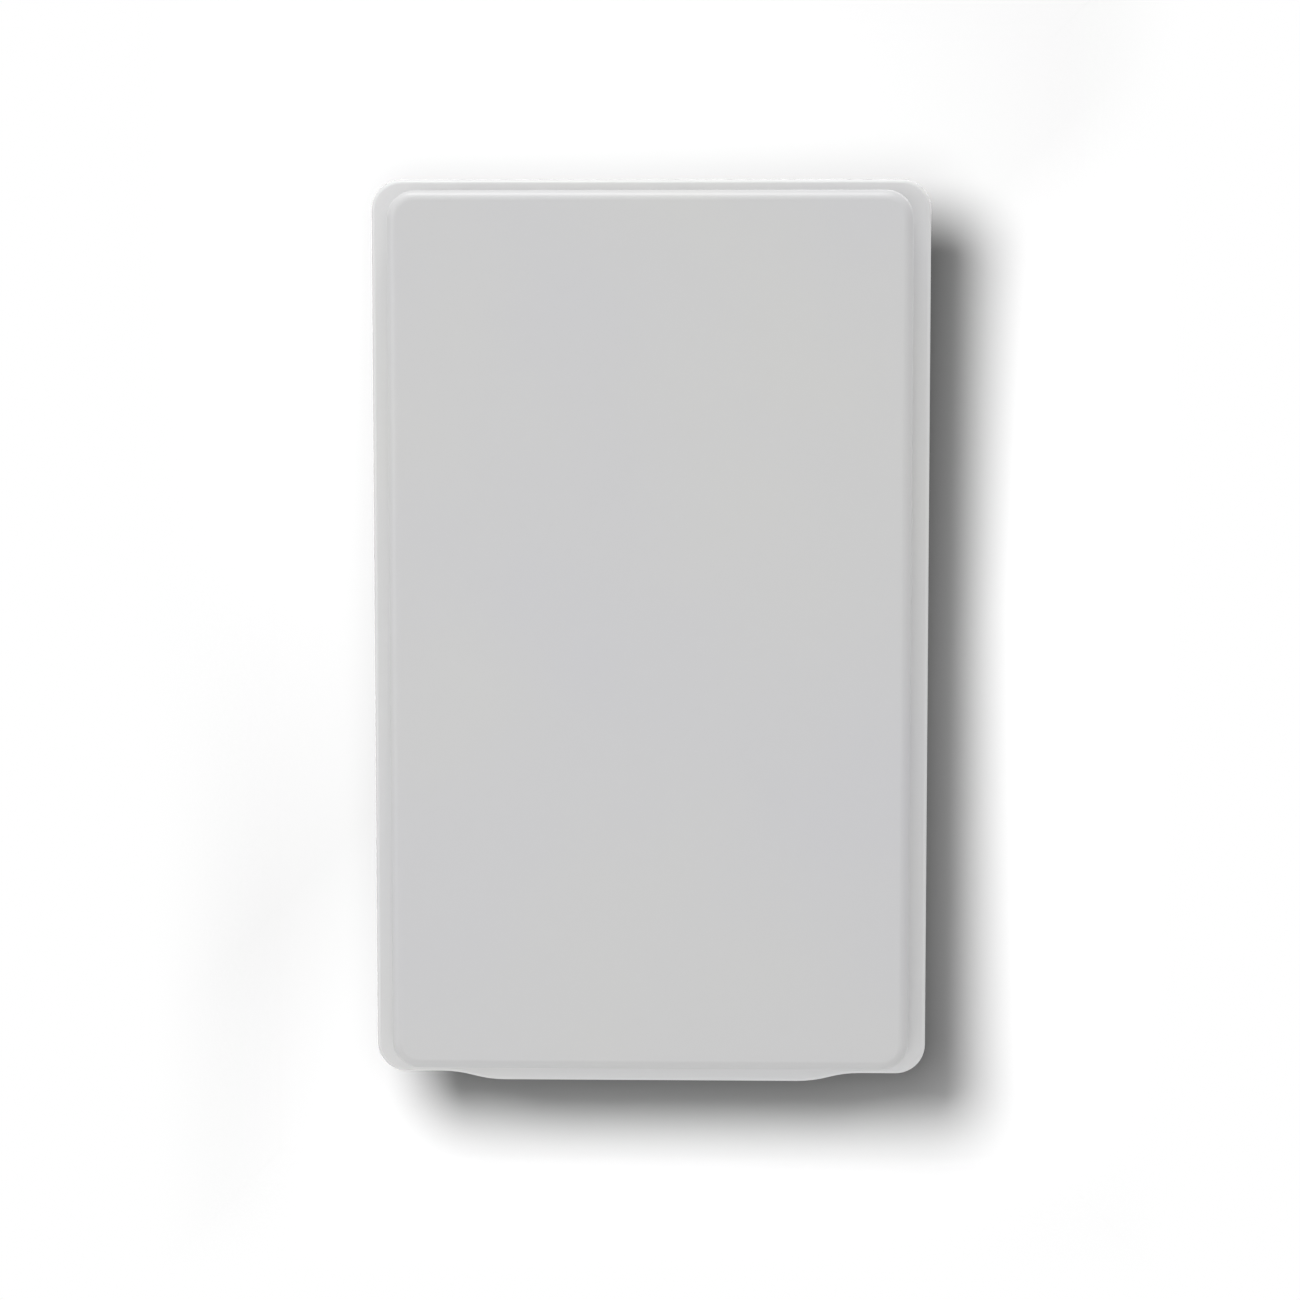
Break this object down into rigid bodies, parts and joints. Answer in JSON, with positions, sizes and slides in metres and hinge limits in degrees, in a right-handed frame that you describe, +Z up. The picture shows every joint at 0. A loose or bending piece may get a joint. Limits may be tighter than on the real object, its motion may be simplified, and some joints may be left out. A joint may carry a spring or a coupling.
{
  "type": "flat panel antenna",
  "caption": "Wall-mounted flat panel antenna: light grey radome on a rimmed tray with a rear radio jack, on a two-piece steel bracket that tilts up and down.",
  "frame": {"origin": "centre of the four wall holes, on the face that meets the wall", "axes": "+Z up, -Y the way the radome faces, +X to the right for someone facing the radome"},
  "size_m": [0.131, 0.0905, 0.214],
  "materials": {
    "radome_plastic": "light grey, fine spark-eroded texture",
    "housing_plastic": "light grey, fine spark-eroded texture",
    "silicone": "moulded silicone",
    "black_rubber": "moulded rubber",
    "stainless": "passivated",
    "zinc_steel": "zinc plated",
    "bracket_steel": "light grey powder coat",
    "sheet_aluminium": "mill finish",
    "brass": "turned",
    "copper": "etched copper",
    "nickel": "nickel plated",
    "laminate": "glass-filled laminate",
    "white_polymer": "fluoropolymer",
    "nylon": "natural nylon",
    "cable_jacket": "translucent brown jacket",
    "gold": "gold flashed",
    "black_plastic": "moulded"
  },
  "bodies": {
    "wall_bracket": {"wall_bracket": "bracket_steel", "pivot_bolts": "zinc_steel", "pivot_friction_washers": "nylon", "pivot_washers": "zinc_steel", "pivot_nuts": "zinc_steel", "lock_bolts": "zinc_steel", "lock_friction_washers": "nylon", "lock_washers": "zinc_steel", "lock_nuts": "zinc_steel"},
    "antenna": {"radome": "radome_plastic", "rear_housing": "housing_plastic", "perimeter_seal": "silicone", "radome_screws": "stainless", "reflector": "sheet_aluminium", "reflector_screws": "stainless", "feed_board": "laminate", "feed_tracks": "copper", "board_rivets": "nylon", "lower_driven_patch": "brass", "lower_director_disc": "sheet_aluminium", "upper_driven_patch": "brass", "upper_director_disc": "sheet_aluminium", "patch_spacers": "white_polymer", "director_spacers": "white_polymer", "patch_screws": "stainless", "patch_nuts": "stainless", "feed_pins": "gold", "pigtail": "cable_jacket", "pigtail_conductor": "gold", "launch_bush": "white_polymer", "launch_block": "brass", "pigtail_clips": "nylon", "jack_body": "nickel", "jack_insulator": "white_polymer", "jack_contact": "gold", "jack_seal": "black_rubber", "jack_washer": "nickel", "jack_nut": "nickel", "vent_plug": "black_plastic", "threaded_inserts": "brass", "tilt_bracket": "bracket_steel", "bracket_washers": "zinc_steel", "bracket_screws": "zinc_steel"}
  },
  "joints": [
    {"name": "tilt", "type": "hinge", "parent": "wall_bracket", "child": "antenna", "pos_m": [0, -0.042, 0.008], "axis": [1, 0, 0], "range_deg": [-20, 20]}
  ]
}
